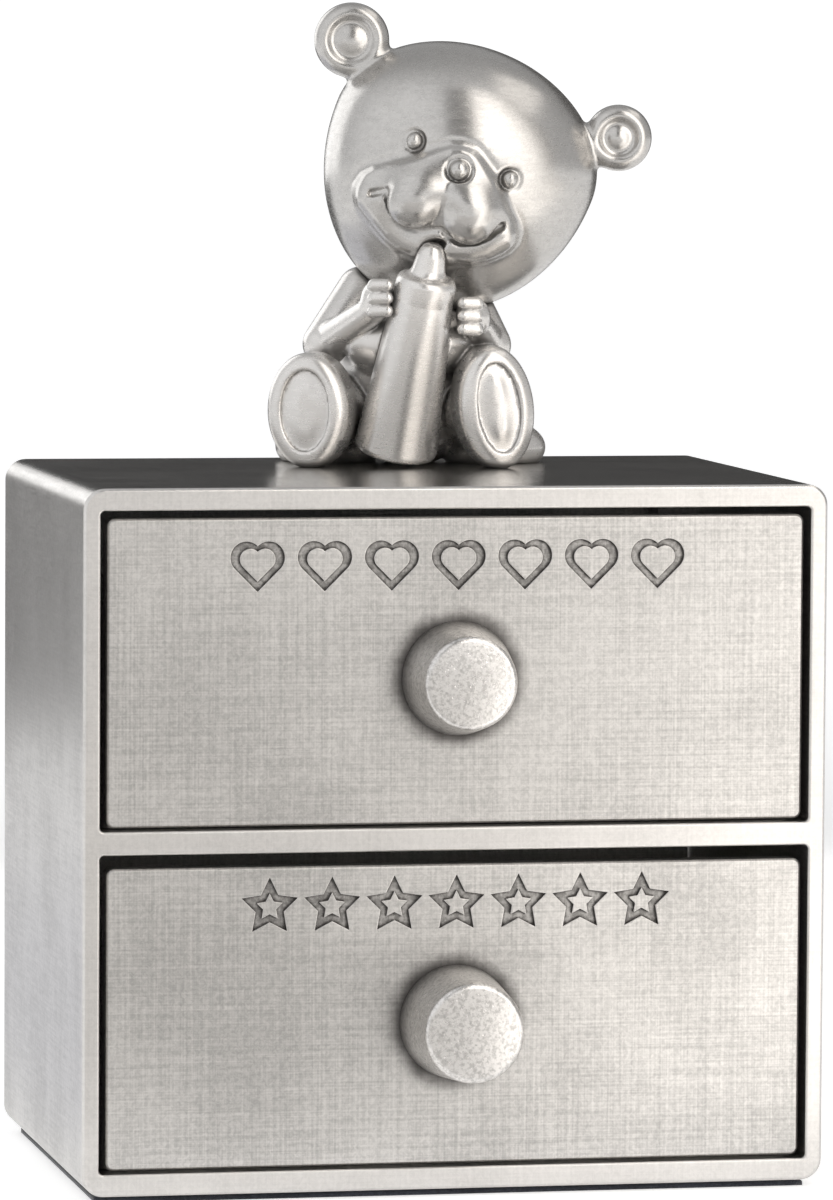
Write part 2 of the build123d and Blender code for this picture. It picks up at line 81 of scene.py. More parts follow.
SCREW_HEAD = 3.8
HAUNCH_BACK = 2.9
screw_span = screws_high - screws_low
bear_turn = -math.atan2(screw_span.y - SCREW_HEAD, screw_span.x - SCREW_HEAD)
turn_matrix = np.array(Matrix.Rotation(bear_turn, 3, "Z"))
screw_middle = (screws_low + screws_high) / 2
bear_seat = np.array((screw_middle.x, screw_middle.y, case_top))
bear_seat -= turn_matrix @ (0, HAUNCH_BACK, 0)
print("top of the case:", round(case_top, 2), "mm; bear's seat:", bear_seat.round(2),
      "turned", round(math.degrees(bear_turn), 1), "degrees")

# %% [markdown]
# ## The camera
# A product photograph like this one is taken from far off with a long lens, so its lines
# hardly run together. The camera stands left of the chest and a little above it.

# %% Make the camera
CAMERA_PLACE = Vector((-119.18, -581.59, 89.03)) * MM
CAMERA_AZIMUTH, CAMERA_ELEVATION, CAMERA_ROLL = (math.radians(a) for a in (11.656, 4.296, 0.352))
LENS_MM = 226.27

camera_data = bpy.data.cameras.new("camera")
camera_data.lens = LENS_MM
camera_data.sensor_width = 36
camera_data.clip_start = 0.01
camera = bpy.data.objects.new("camera", camera_data)
bpy.context.scene.collection.objects.link(camera)
aim = Vector((math.sin(CAMERA_AZIMUTH) * math.cos(CAMERA_ELEVATION),
              math.cos(CAMERA_AZIMUTH) * math.cos(CAMERA_ELEVATION),
              -math.sin(CAMERA_ELEVATION)))
camera.matrix_world = (Matrix.Translation(CAMERA_PLACE)
                       @ aim.to_track_quat("-Z", "Y").to_matrix().to_4x4()
                       @ Matrix.Rotation(CAMERA_ROLL, 4, "Z"))
bpy.context.scene.camera = camera
print("camera aims along", [round(a, 3) for a in aim])

# %% [markdown]
# ## Shader sums as plain Python
# A finish is mostly arithmetic on masks: a streak here, less of it there, darker in a groove.
# Wiring that by hand hides the idea, so a small class wraps a socket and lets it be added,
# multiplied and raised like a number. Everything else comes from one method that takes a
# node's type, its settings and what goes into its sockets.

# %% A socket that can be added and multiplied
class Wire:
    """An output of a shader node, which takes part in sums."""

    def __init__(self, finish, socket):
        self.finish = finish
        self.socket = socket

    def __add__(self, other):
        return self.finish.math("ADD", self, other)

    def __sub__(self, other):
        return self.finish.math("SUBTRACT", self, other)

    def __rsub__(self, other):
        return self.finish.math("SUBTRACT", other, self)

    def __mul__(self, other):
        return self.finish.math("MULTIPLY", self, other)

    __radd__ = __add__
    __rmul__ = __mul__


class Finish:
    """A material, and the ways to add nodes to it."""

    def __init__(self, name):
        self.material = bpy.data.materials.new(name)
        self.material.use_nodes = True
        self.tree = self.material.node_tree
        self.tree.nodes.clear()
        place = self.node("TexCoord", output="Object")
        self.place = self.node("VectorMath", {"operation": "SCALE"}, {0: place, "Scale": 1 / MM})

    def node(self, kind, settings=None, sockets=None, output=0):
        """Adds a node: its settings first, then a value or a wire for each socket."""
        made = self.tree.nodes.new("ShaderNode" + kind)
        for name, value in (settings or {}).items():
            setattr(made, name, value)
        for name, value in (sockets or {}).items():
            if isinstance(value, Wire):
                self.tree.links.new(value.socket, made.inputs[name])
            else:
                made.inputs[name].default_value = value
        return Wire(self, made.outputs[output])

    def math(self, operation, *values):
        return self.node("Math", {"operation": operation}, dict(enumerate(values)))

    def fade(self, value, low, high):
        """0 below low, 1 above high, and a smooth step between."""
        return self.node("MapRange", {"interpolation_type": "SMOOTHSTEP"},
                         {"Value": value, "From Min": low, "From Max": high})

    def mix(self, amount, first, second):
        """A colour between two others."""
        return self.node("Mix", {"data_type": "RGBA"}, {0: amount, 6: first, 7: second}, output=2)

    def axis(self, name):
        """How far along X, Y or Z a point is, in millimetres."""
        return self.node("SeparateXYZ", None, {0: self.place}, output=name)

    def noise(self, stretch, detail=3.0, rough=0.5, swirl=0.0):
        """Noise with so many features to the millimetre along X, Y and Z."""
        where = self.node("VectorMath", {"operation": "MULTIPLY"}, {0: self.place, 1: stretch})
        return self.node("TexNoise", None, {"Vector": where, "Scale": 1.0, "Detail": detail,
                                            "Roughness": rough, "Distortion": swirl},
                         output="Fac")

    def edges(self, reach_mm):
        """1 at an edge and 0 away from it, and a normal that rounds the edge off."""
        rounded = self.node("Bevel", {"samples": 6}, {"Radius": reach_mm * MM})
        flat = self.node("NewGeometry", output="Normal")
        along = self.node("VectorMath", {"operation": "DOT_PRODUCT"}, {0: rounded, 1: flat},
                          output="Value")
        return self.fade(1 - along, 0.015, 0.2), rounded

    def closed(self, reach_mm):
        """How closed-in a point is by its own piece."""
        return 1 - self.node("AmbientOcclusion", {"samples": 8, "only_local": True},
                             {"Distance": reach_mm * MM}, output="AO")

    def bump(self, height, depth_mm, normal=None):
        """A normal from a height of 0 to 1 that stands for a depth in millimetres."""
        sockets = {"Height": height, "Distance": depth_mm * MM, "Strength": 1.0}
        if normal:
            sockets["Normal"] = normal
        return self.node("Bump", None, sockets)

    def shade(self, **sockets):
        """Ends the material in one Principled shader."""
        named = {name.replace("_", " "): value for name, value in sockets.items()}
        shader = self.node("BsdfPrincipled", None, named)
        end = self.tree.nodes.new("ShaderNodeOutputMaterial")
        self.tree.links.new(shader.socket, end.inputs["Surface"])
        return self.material


def colour(red, green, blue):
    """A colour socket's value."""
    return (red, green, blue, 1.0)


print("shader tools are ready")

# %% [markdown]
# ## Pewter
# Pewter is a soft grey metal. It is cast, brushed with a fine wheel, dipped in a darkening
# bath and wiped, so the dark stays in grooves and round the feet of knobs. Part of that dark
# is painted shade: the grooves' corners and a ring round each knob's foot are darkened where
# shade falls. The brushing is noise stretched into streaks, with small spots between them. It
# changes the colour, because a little of the bath stays in every scratch, and slightly the
# roughness and the height. Edges come out brighter, partly from wear and partly as a painted
# highlight, and they are rounded off.

# %% The pewter of every piece
PEWTER = colour(0.63, 0.613, 0.592)
PEWTER_DULL = colour(0.37, 0.362, 0.35)
# The lightest tone is rubbed pewter, and also the colour of painted light and painted edge
# highlights.
PEWTER_WORN_AND_LIT = colour(0.74, 0.72, 0.70)
# The darkest tone is the bath's dark, and also the colour of painted shade.
PATINA_AND_SHADE = colour(0.055, 0.05, 0.047)


def pewter(name, streaks, patina_and_shade=None, rough=0.34, grain_depth=0.004, streak_depth=0.003,
           pits=0.0, film=0.0, speckle=0.5, contrast=0.8, dim=0.0, wear_and_light=None,
           polished=None, edge=0.0):
    """Pewter with streaks, darkened by the bath and by painted shade, and lightened by wear and by
    painted light, each where its mask is 1.
    """
    finish = Finish(name)
    clouds = finish.noise((0.09, 0.09, 0.09), detail=2.0)
    grain = finish.noise((5.5, 5.5, 5.5), detail=2.0, rough=0.6)
    brushed = finish.noise(streaks[0], detail=3.0, rough=0.65)
    for stretch in streaks[1:]:
        brushed = brushed * 0.5 + finish.noise(stretch, detail=3.0, rough=0.65) * 0.5
    spots = finish.noise((2.6, 2.6, 2.6), detail=3.0, rough=0.75, swirl=0.8)
    dulled = finish.fade(clouds * 0.3 + brushed * 0.7, 0.39, 0.61)
    dulled = dulled * (1 - speckle) + finish.fade(spots, 0.36, 0.64) * speckle
    metal = finish.mix(dulled * contrast + dim, PEWTER, PEWTER_DULL)
    height = brushed * (streak_depth / grain_depth) + grain * 0.5
    if pits:
        holes = finish.node("TexVoronoi", None, {"Vector": finish.place, "Scale": 2.6},
                            output="Distance")
        height = height - (1 - finish.fade(holes, 0.02, 0.22)) * pits
    roughness = brushed * 0.22 + clouds * 0.1 + (rough - 0.16)
    rounded = None
    # Edges are lightened, partly wear and partly a painted highlight.
    if edge:
        rim, rounded = finish.edges(edge)
        metal = finish.mix(rim * 0.8, metal, PEWTER_WORN_AND_LIT)
    # Lightened by a mask: wear on the case and knobs, painted light on the bear's body and bottle.
    if wear_and_light:
        metal = finish.mix(wear_and_light(finish), metal, PEWTER_WORN_AND_LIT)
    if polished:
        roughness = roughness - polished(finish) * 0.13
    # Darkened by the bath's dark and by painted shade.
    if patina_and_shade:
        dark = patina_and_shade(finish)
        metal = finish.mix(dark, metal, PATINA_AND_SHADE)
        roughness = roughness + dark * 0.25
    return finish.shade(Base_Color=metal, Metallic=1.0 - film, Roughness=roughness,
                        Normal=finish.bump(height, grain_depth, rounded))


def groove_patina_and_shade(finish):
    """The bath's dark and painted shade: dark in what is cut into a drawer's front, most in its
    corners, and in a soft ring round its knob's foot, which is painted shadow and the bath's dark.
    """
    depth = finish.fade(finish.axis("Y"), front_low.y + 0.06, front_low.y + 0.2)
    sunk = depth * (1 - finish.fade(finish.axis("Y"), front_low.y + 0.5, front_low.y + 0.9))
    # Painted shade: the grooves' corners darken by how closed-in they are.
    corner = finish.fade(finish.closed(0.35), 0.12, 0.5)
    mottled = finish.noise((2.6, 2.6, 2.6), detail=2.0, rough=0.7)
    sunk = sunk * (corner * 0.5 + finish.fade(mottled, 0.35, 0.65) * 0.25 + 0.35)
    # The ring round each knob's foot is a painted shadow of the knob, with the bath's dark in it.
    ring = 0.0
    for drawer in ("upper", "lower"):
        low, high = (Vector(p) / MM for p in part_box(drawer + "_knob"))
        middle = (low + high) / 2
        away = finish.node("VectorMath", {"operation": "DISTANCE"},
                           {0: finish.place, 1: (middle.x, front_low.y, middle.z)},
                           output="Value")
        uneven = finish.noise((0.5, 0.5, 0.5), detail=2.0) * 0.9
        foot = (high.x - low.x) / 2
        ring = (1 - finish.fade(away + uneven, foot + 0.3, foot + 1.9)) * 0.9 + ring
    return finish.math("MINIMUM", sunk + ring, 0.93)


def polished_top(finish):
    """The top is a little smoother than the walls."""
    return finish.fade(finish.axis("Z"), case_top - 0.4, case_top - 0.05)


def rubbed_frame(finish):
    """Hands rub the front frame bright."""
    clouds = finish.noise((0.25, 0.25, 0.25), detail=2.0)
    return (1 - finish.fade(finish.axis("Y"), case_low.y + 0.1, case_low.y + 1.2)) * (
        clouds * 0.5 + 0.2)


def knob_darker_to_foot(finish):
    """The knob darkens towards its foot."""
    return finish.fade(finish.axis("Y"), front_low.y - 3.2, front_low.y + 0.3) * 0.55


def rubbed_knob(finish):
    """The knobs are rubbed bright all over, but their cast skin stays grainy."""
    grains = finish.noise((3.2, 3.2, 3.2), detail=2.0, rough=0.65)
    return finish.fade(grains, 0.36, 0.6) * 0.85 + 0.05


case_pewter = pewter("case_pewter", [(0.06, 0.2, 5.0), (4.0, 0.2, 0.06)],
                     contrast=0.75, wear_and_light=rubbed_frame, polished=polished_top, edge=0.15)
front_pewter = pewter("front_pewter", [(0.08, 1.0, 6.0), (6.0, 1.0, 0.08)], groove_patina_and_shade,
                      rough=0.36, grain_depth=0.006, speckle=0.4, contrast=1.0, edge=0.12)
tray_pewter = pewter("tray_pewter", [(0.1, 0.1, 3.0)], rough=0.46)
knob_pewter = pewter("knob_pewter", [(2.2, 2.2, 2.2)], knob_darker_to_foot, rough=0.3,
                     grain_depth=0.02, pits=0.6, wear_and_light=rubbed_knob)
screw_steel = pewter("screw_steel", [(3.0, 3.0, 0.4)], rough=0.3)
print("pewter finishes:", case_pewter.name, front_pewter.name, knob_pewter.name)

# %% [markdown]
# ## Cast pieces that keep their own shape
# The case, the drawers, the knobs and the screws already have their real shape, with their
# bevels, holes and engraved bands. They only need their finish, which goes into the slots of
# the frame's own objects.

# %% Give the frame's pieces their finish
FINISHES = {
    "case_shell": case_pewter,
    "back_plate": case_pewter,
    "back_plate_screws": screw_steel,
    "bear_screws": screw_steel,
}
for drawer in ("upper", "lower"):
    FINISHES[drawer + "_drawer_front"] = front_pewter
    FINISHES[drawer + "_drawer_tray"] = tray_pewter
    FINISHES[drawer + "_knob"] = knob_pewter
    FINISHES[drawer + "_knob_washer"] = screw_steel
    FINISHES[drawer + "_knob_screw"] = screw_steel


def add_mesh(name, points, faces, smooth=True):
    """A new object in the scene from its points, in metres, and its faces."""
    mesh = bpy.data.meshes.new(name)
    mesh.from_pydata(points, [], faces)
    mesh.update()
    if smooth:
        mesh.shade_smooth()
    piece = bpy.data.objects.new(name, mesh)
    bpy.context.scene.collection.objects.link(piece)
    return piece


def dress(piece, material):
    """Puts one material on the whole of a piece."""
    piece.data.materials.clear()
    piece.data.materials.append(material)


for name, material in FINISHES.items():
    dress(frame["nodes"][name], material)
print("finished:", len(FINISHES), "pieces of the frame")

# %% [markdown]
# ## Sculpting with distances
# A cast bear is all soft swellings that run into each other, with sharp creases where two
# meet. Box modelling that takes hours. Here each swelling is a formula that gives a point's
# distance from it, and the formulas are joined: a soft joint where flesh flows together, a
# hard one where a crease stays. The bear has a frame of its own, in millimetres: X to its
# viewer's right, Y to its back, Z up from its seat.

# %% Shapes as distances
def round_distance(across, radii):
    """The distance from an ellipse or ellipsoid, near its skin."""
    near = np.linalg.norm(across / radii, axis=1)
    steep = np.linalg.norm(across / radii ** 2, axis=1)
    return near * (near - 1) / np.maximum(steep, 1e-9)


def ball(points, middle, radii, lean=0.0):
    """The distance from an ellipsoid that leans to its right by so many degrees."""
    turn = np.array(Matrix.Rotation(math.radians(lean), 3, "Y"))
    return round_distance((points - np.array(middle)) @ turn, np.array(radii, float))


def limb(points, start, start_radius, end, end_radius):
    """The distance from a tapering limb with round ends."""
    start, end = np.array(start, float), np.array(end, float)
    run = end - start
    length2 = run @ run
    taper = start_radius - end_radius
    slope2 = length2 - taper * taper
    from_start = points - start
    along = from_start @ run
    beyond = along - length2
    side2 = ((from_start * length2 - along[:, None] * run) ** 2).sum(1)
    along2 = along * along * length2
    beyond2 = beyond * beyond * length2
    lean = np.sign(taper) * taper * taper * side2
    wall = (np.sqrt(side2 * slope2 / length2) + along * taper) / length2 - start_radius
    tip = np.sqrt(side2 + beyond2) / length2 - end_radius
    base = np.sqrt(side2 + along2) / length2 - start_radius
    at_tip = np.sign(beyond) * slope2 * beyond2 > lean
    at_base = np.sign(along) * slope2 * along2 < lean
    return np.where(at_tip, tip, np.where(at_base, base, wall))


def disc(points, middle, radii, thickness, rounding):
    """The distance from a thick oval disc that faces the viewer, with rolled edges."""
    p = points - np.array(middle)
    edge = round_distance(p[:, (0, 2)], np.array(radii, float)) + rounding
    depth = np.abs(p[:, 1]) - thickness / 2 + rounding
    outside = np.hypot(np.maximum(edge, 0), np.maximum(depth, 0))
    return outside + np.minimum(np.maximum(edge, depth), 0) - rounding


def ring(points, middle, radius, thickness, flat=1.0):
    """The distance from a ring that faces the viewer, stretched front to back."""
    p = points - np.array(middle)
    out = np.hypot(p[:, 0], p[:, 2]) - radius
    return np.hypot(out, p[:, 1] / flat) - thickness


def join(first, second, soft=0.0):
    """Both shapes, run together over so many millimetres."""
    if not np.any(soft):
        return np.minimum(first, second)
    share = np.clip(0.5 + 0.5 * (second - first) / soft, 0, 1)
    return second * (1 - share) + first * share - soft * share * (1 - share)


def carve(first, second, soft=0.0):
    """The first shape with the second cut out of it."""
    return -join(-first, second, soft)


def step(value, low, high):
    """0 below low, 1 above high, smooth between."""
    share = np.clip((value - low) / (high - low), 0, 1)
    return share * share * (3 - 2 * share)


def inside_outline(x, z, outline):
    """How far inside a closed outline a place on the face is."""
    nearest = np.full(len(x), 1e9)
    inside = np.zeros(len(x), bool)
    for (ax, az), (bx, bz) in zip(outline, outline[1:] + outline[:1]):
        run_x, run_z = bx - ax, bz - az
        share = ((x - ax) * run_x + (z - az) * run_z) / (run_x ** 2 + run_z ** 2)
        share = np.clip(share, 0, 1)
        nearest = np.minimum(nearest, np.hypot(x - ax - share * run_x, z - az - share * run_z))
        if az != bz:
            inside ^= ((az > z) != (bz > z)) & (x < run_x * (z - az) / run_z + ax)
    return np.where(inside, nearest, -nearest)


print("distance shapes are ready")

# %% [markdown]
# ## The bottle
# The bottle is a tapering barrel with a ring for its cap and a teat on top. It leans with its
# foot in the bear's lap and its teat in the bear's mouth. It is turned like a pot: an outline
# is swept round an axis. The bear's paws and mouth need to know where it is, so its frame
# comes first.

# %% Place the bottle
BOTTLE_FOOT = (-1.2, -4.6)
BOTTLE_LEAN_RIGHT, BOTTLE_LEAN_FORWARD = 9.8, 14.0
BARREL_RADII = (3.35, 2.4)
BARREL_LENGTH, CAP_LENGTH, TEAT_LENGTH = 12.9, 2.1, 2.7
CAP_RADIUS, TEAT_RADIUS, TEAT_TIP = 2.4, 1.35, 1.1

bottle_turn = np.array(Matrix.Rotation(math.radians(BOTTLE_LEAN_FORWARD), 3, "X")
                       @ Matrix.Rotation(math.radians(BOTTLE_LEAN_RIGHT), 3, "Y"))
bottle_axis = bottle_turn @ (0, 0, 1)
bottle_rise = BARREL_RADII[0] * math.sqrt(1 - bottle_axis[2] ** 2)
bottle_foot = np.array((*BOTTLE_FOOT, bottle_rise))


def on_bottle(up):
    """A point on the bottle's axis."""
    return bottle_foot + bottle_axis * up


def bottle_field(points):
    """The distance from the bottle."""
    p = (points - bottle_foot) @ bottle_turn
    up, out = p[:, 2], np.hypot(p[:, 0], p[:, 1])
    top = BARREL_LENGTH + CAP_LENGTH
    share = np.clip(up / BARREL_LENGTH, 0, 1)
    wide = BARREL_RADII[0] + (BARREL_RADII[1] - BARREL_RADII[0]) * share
    barrel = np.maximum(out - wide, np.maximum(-up, up - top))
    cap = np.maximum(out - CAP_RADIUS, np.maximum(BARREL_LENGTH - up, up - top))
    teat = limb(p, (0, 0, top), TEAT_RADIUS, (0, 0, top + TEAT_LENGTH - TEAT_TIP), TEAT_TIP)
    return np.minimum(np.minimum(barrel, cap), teat)


print("bottle's teat ends at", on_bottle(BARREL_LENGTH + CAP_LENGTH + TEAT_LENGTH).round(2))

# %% [markdown]
# ## The head
# The skull is an egg that tilts towards the bear's left, its crown lower than its jaw is long.
# The muzzle is a low shield on it with a peak between the eyes and a crisp rim. Two plump lips
# hang from its middle, with a smile cut under them and a lower lip below that, where the teat
# goes in. Eyes are small domes in a groove. The ears are thick discs with a cup, and a dome
# inside the cup.

# %% The head as distances
HEAD_MIDDLE = (4.2, -0.3, 25.05)
HEAD_HALF_WIDTH, HEAD_HALF_DEPTH = 10.95, 9.0
CROWN, JAW = 8.4, 13.0
HEAD_TILT = 21.5
EARS = ((-11.65, 4.89, 3.0), (11.03, 5.59, 2.65))
EAR_BACK, EAR_THICKNESS = -1.1, 2.6
MUZZLE = [(-6.9, -7.0), (-7.3, -5.7), (-7.05, -4.45), (-6.4, -3.6), (-5.5, -3.0), (-4.5, -2.3),
          (-3.2, -1.35), (-2.3, -0.5), (-1.3, 0.25), (-0.4, 0.55), (0.7, 0.6), (1.4, 0.3),
          (2.3, -0.3), (3.3, -1.0), (4.15, -1.9), (5.1, -2.8), (5.9, -3.55), (6.4, -4.3),
          (6.6, -5.2), (6.4, -6.3), (5.8, -7.4), (4.6, -8.6), (3.0, -9.5), (1.0, -9.9),
          (-1.0, -9.9), (-3.2, -9.4), (-5.0, -8.7), (-6.2, -7.9)]
MUZZLE_RIM, MUZZLE_SWELL = 0.5, 1.0
LIPS = ((-2.1, -4.8, 16.0), (2.15, -4.3, -16.0))
SMILE = [(-5.6, -5.7), (-4.75, -5.1), (-4.3, -5.6), (-3.7, -6.25), (-2.9, -6.8), (-1.9, -7.1),
         (-0.9, -7.05), (-0.1, -6.6), (0.5, -6.3), (1.2, -6.6), (2.3, -6.65), (3.4, -6.15),
         (4.2, -5.4), (4.75, -4.3)]
LOWER_LIP = [(-5.7, -6.2), (-4.35, -7.05), (-3.0, -7.8), (-1.9, -8.15), (-0.8, -8.2), (0.4, -8.0),
             (1.8, -7.6), (3.3, -7.1), (4.3, -6.4), (5.3, -5.1)]
SMILE_END = [(4.85, -4.3), (4.1, -5.2)]
CLEFT = [(0.05, -6.3), (-0.05, -3.1)]
SMILE_CUT, SMILE_END_CUT, CLEFT_CUT = 0.3, 0.28, 0.24
LIP_RADII, LOWER_LIP_RADIUS = (2.35, 2.2, 2.5), 0.85
MOUTH_HOLE = (1.05, 1.3, 0.5)
EYES = ((-4.03, -0.58), (4.15, -0.62))
EYE_RADII, EYE_GROOVE = (0.54, 0.5, 0.64), (0.78, 0.14)
NOSE = (0.11, -1.37)
NOSE_RADII, NOSE_GROOVE = (0.76, 0.72, 0.76), (0.94, 0.09)

head_turn = np.array(Matrix.Rotation(math.radians(HEAD_TILT), 3, "Y"))


def to_head(points):
    """From the bear's frame to the head's own, upright frame."""
    return (points - np.array(HEAD_MIDDLE)) @ head_turn


def on_face(place, rise=0.0):
    """The point of the skull's front at a place on the face, raised towards the viewer."""
    x, z = place
    inside = 1 - (x / HEAD_HALF_WIDTH) ** 2 - (z / (CROWN if z > 0 else JAW)) ** 2
    return (x, -HEAD_HALF_DEPTH * math.sqrt(max(inside, 0)) - rise, z)


def chain(points, places, rise, radius):
    """A string of limbs over the face."""
    made = np.full(len(points), 1e9)
    for start, end in zip(places, places[1:]):
        made = np.minimum(made, limb(points, on_face(start, rise), radius,
                                     on_face(end, rise), radius))
    return made


def ear_field(p, x, z, radius):
    """A thick disc with a cup in its front, and a soft dome in the cup."""
    front = EAR_BACK - EAR_THICKNESS / 2
    ear = disc(p, (x, EAR_BACK, z), (radius, radius), EAR_THICKNESS, 1.2)
    cup = radius - 1.0
    ear = carve(ear, ball(p, (x, front - 0.25, z), (cup, 1.2, cup)), 0.4)
    return join(ear, ball(p, (x, front + 1.2, z), (cup - 0.4, 1.0, cup - 0.4)), 0.4)


def head_field(points):
    p = to_head(points)
    x, z = p[:, 0], p[:, 2]
    radii = np.stack([np.full(len(p), HEAD_HALF_WIDTH), np.full(len(p), HEAD_HALF_DEPTH),
                      np.where(z > 0, CROWN, JAW)], 1)
    head = round_distance(p, radii)
    inside = inside_outline(x, z, MUZZLE)
    crisp = step(z, -8.0, -5.2)
    rise = step(inside, -0.1, 0.6) * MUZZLE_RIM * crisp + step(inside, -0.2, 5.0) * MUZZLE_SWELL
    rise = rise - 0.06 * crisp * np.exp(-((inside + 0.3) / 0.22) ** 2)
    head = head - rise * step(-p[:, 1], 0.5, 3.0)
    lips = np.full(len(p), 1e9)
    for lip_x, lip_z, lean in LIPS:
        lip = ball(p, on_face((lip_x, lip_z), 0.3), LIP_RADII, lean)
        lips = join(lips, lip, 0.2)
    head = join(head, chain(p, LOWER_LIP, 0.45, LOWER_LIP_RADIUS), 1.5)
    head = join(head, lips, 0.12 + 1.9 * step(z, -5.8, -3.0))
    head = carve(head, chain(p, SMILE, 1.15, SMILE_CUT), 0.22)
    head = carve(head, chain(p, SMILE_END, 1.0, SMILE_END_CUT), 0.25)
    head = carve(head, chain(p, CLEFT, 2.35, CLEFT_CUT), 0.4)
    mouth = on_bottle(BARREL_LENGTH + CAP_LENGTH + TEAT_LENGTH) + (0, -0.3, -0.2)
    head = carve(head, ball(points, mouth, MOUTH_HOLE, -HEAD_TILT / 2), 0.3)
    head = carve(head, ring(p, on_face(NOSE, 0.95), *NOSE_GROOVE, 2.0), 0.35)
    head = join(head, ball(p, on_face(NOSE, 0.85), NOSE_RADII), 0.12)
    for eye in EYES:
        head = carve(head, ring(p, on_face(eye, 0.05), *EYE_GROOVE, 2.0), 0.3)
        head = join(head, ball(p, on_face(eye, -0.1), EYE_RADII), 0.12)
    for ear_x, ear_z, radius in EARS:
        head = join(head, ear_field(p, ear_x, ear_z, radius), 0.8)
    return head


print("head:", 2 * HEAD_HALF_WIDTH, "mm wide, tilted", HEAD_TILT, "degrees")

# %% [markdown]
# ## The body
# The bear sits with its legs apart, its belly over them and its soles turned out a little.
# Each sole has a rim and a sunk oval pad. The arms come down, bend and reach up to the
# bottle's neck, where each paw closes on it with three short fingers.

# %% The body as distances
TORSO = ((0, 2.0, 7.4), (6.0, 4.8, 7.8))
BELLY = ((0, -2.6, 9.9), (5.5, 4.6, 3.1))
HAUNCH, HAUNCH_RADIUS = (5.3, HAUNCH_BACK, 3.6), 3.6
HIP = ((6.6, HAUNCH_BACK, 1.2), (4.3, 4.3, 2.4))
LEG_RADIUS = 3.1
TAIL_RISE, TAIL_SUNK, TAIL_RADIUS = 3.6, 0.8, 1.6
FOOT_THICKNESS, FOOT_ROUND = 4.4, 1.2
PAD_INSET, PAD_DEPTH = 1.35, 0.32
FEET = {-1: {"middle": (-7.76, -5.6, 4.52), "radii": (3.35, 4.6), "splay": -16.0, "lean": 0.0},
        1: {"middle": (6.55, -5.6, 4.85), "radii": (3.1, 4.95), "splay": 16.0, "lean": -8.0}}
ARMS = {-1: {"shoulder": (-4.0, 1.0, 13.8), "elbow": (-6.8, -1.4, 9.6),
             "wrist": (-2.9, -7.2, 12.6), "paw": (-2.55, -7.4, 13.5)},
        1: {"shoulder": (4.0, 1.0, 13.8), "elbow": (6.2, -1.4, 9.6),
            "wrist": (5.1, -6.5, 11.9), "paw": (4.95, -6.8, 12.1)}}
ARM_RADIUS, ELBOW_RADIUS, FOREARM_RADIUS, WRIST_RADIUS = 1.95, 1.85, 1.45, 1.15
PAW_RADIUS, FINGER_RADIUS, FINGER_PITCH = 1.35, 0.56, 1.02


def foot_field(points, foot):
    """A thick oval foot with a rolled rim and a sunk pad in its sole."""
    turn = np.array(Matrix.Rotation(math.radians(foot["splay"]), 3, "Z")
                    @ Matrix.Rotation(math.radians(foot["lean"]), 3, "Y"))
    p = (points - np.array(foot["middle"])) @ turn
    shape = disc(p, (0, 0, 0), foot["radii"], FOOT_THICKNESS, FOOT_ROUND)
    pad = round_distance(p[:, (0, 2)], np.array(foot["radii"]) - PAD_INSET)
    dish = PAD_DEPTH * (1 - 0.85 * step(-pad, 0.1, 1.8))
    sunk = np.maximum(pad, p[:, 1] + FOOT_THICKNESS / 2 - dish)
    return carve(shape, sunk, 0.15)


def arm_field(points, arm):
    """An arm that bends at its elbow and closes on the bottle."""
    shape = join(limb(points, arm["shoulder"], ARM_RADIUS, arm["elbow"], ELBOW_RADIUS),
                 limb(points, arm["elbow"], FOREARM_RADIUS, arm["wrist"], WRIST_RADIUS), 0.25)
    paw = np.array(arm["paw"])
    shape = join(shape, ball(points, paw, (PAW_RADIUS, PAW_RADIUS, PAW_RADIUS * 1.1)), 0.5)
    inward = -math.copysign(1, paw[0])
    for i in (-1, 0, 1):
        knuckle = paw + (-inward * 0.3, -1.0, i * FINGER_PITCH)
        tip = paw + (inward * 0.75, -1.35, i * FINGER_PITCH + 0.05)
        shape = join(shape, limb(points, knuckle, FINGER_RADIUS, tip, FINGER_RADIUS * 0.9), 0.1)
    return shape


def body_field(points):
    body = join(ball(points, *TORSO), ball(points, *BELLY), 0.6)
    tail = (0, TORSO[0][1] + TORSO[1][1] - TAIL_SUNK, TAIL_RISE)
    body = join(body, ball(points, tail, (TAIL_RADIUS,) * 3), 0.3)
    for side in (-1, 1):
        foot = FEET[side]
        hip = (side * HAUNCH[0], HAUNCH[1], HAUNCH[2])
        ankle = (foot["middle"][0] * 0.95, foot["middle"][1] + 2.0, foot["middle"][2] - 0.2)
        leg = limb(points, hip, HAUNCH_RADIUS, ankle, LEG_RADIUS)
        leg = join(leg, ball(points, (side * HIP[0][0], HIP[0][1], HIP[0][2]), HIP[1]), 0.6)
        leg = join(leg, foot_field(points, foot), 0.35)
        body = join(body, leg, 0.35)
        body = join(body, arm_field(points, ARMS[side]), 0.25)
    body = carve(body, bottle_field(points) - 0.03)
    body = carve(body, head_field(points) - 0.02)
    return np.maximum(body, -points[:, 2])


print("body:", len(FEET), "feet and", len(ARMS), "arms")

# %% [markdown]
# ## From distances to a mesh
# Surface nets is the simplest way to find the skin of a distance formula. It looks at a grid
# of small cubes, puts one point in each cube that the skin passes through, and joins the
# points of neighbouring cubes with a quad. Most of the grid is far from the skin, so a coarse
# look comes first and only the blocks near the skin are worked out. A few steps along the
# slope of the formula then put every point exactly on the skin.

# %% Surface nets
def slope_at(field, points, reach=0.02):
    """How fast and in which direction the distance grows at each point."""
    slope = np.empty_like(points)
    for axis in range(3):
        shift = np.zeros(3)
        shift[axis] = reach
        slope[:, axis] = (field(points + shift) - field(points - shift)) / (2 * reach)
    return slope


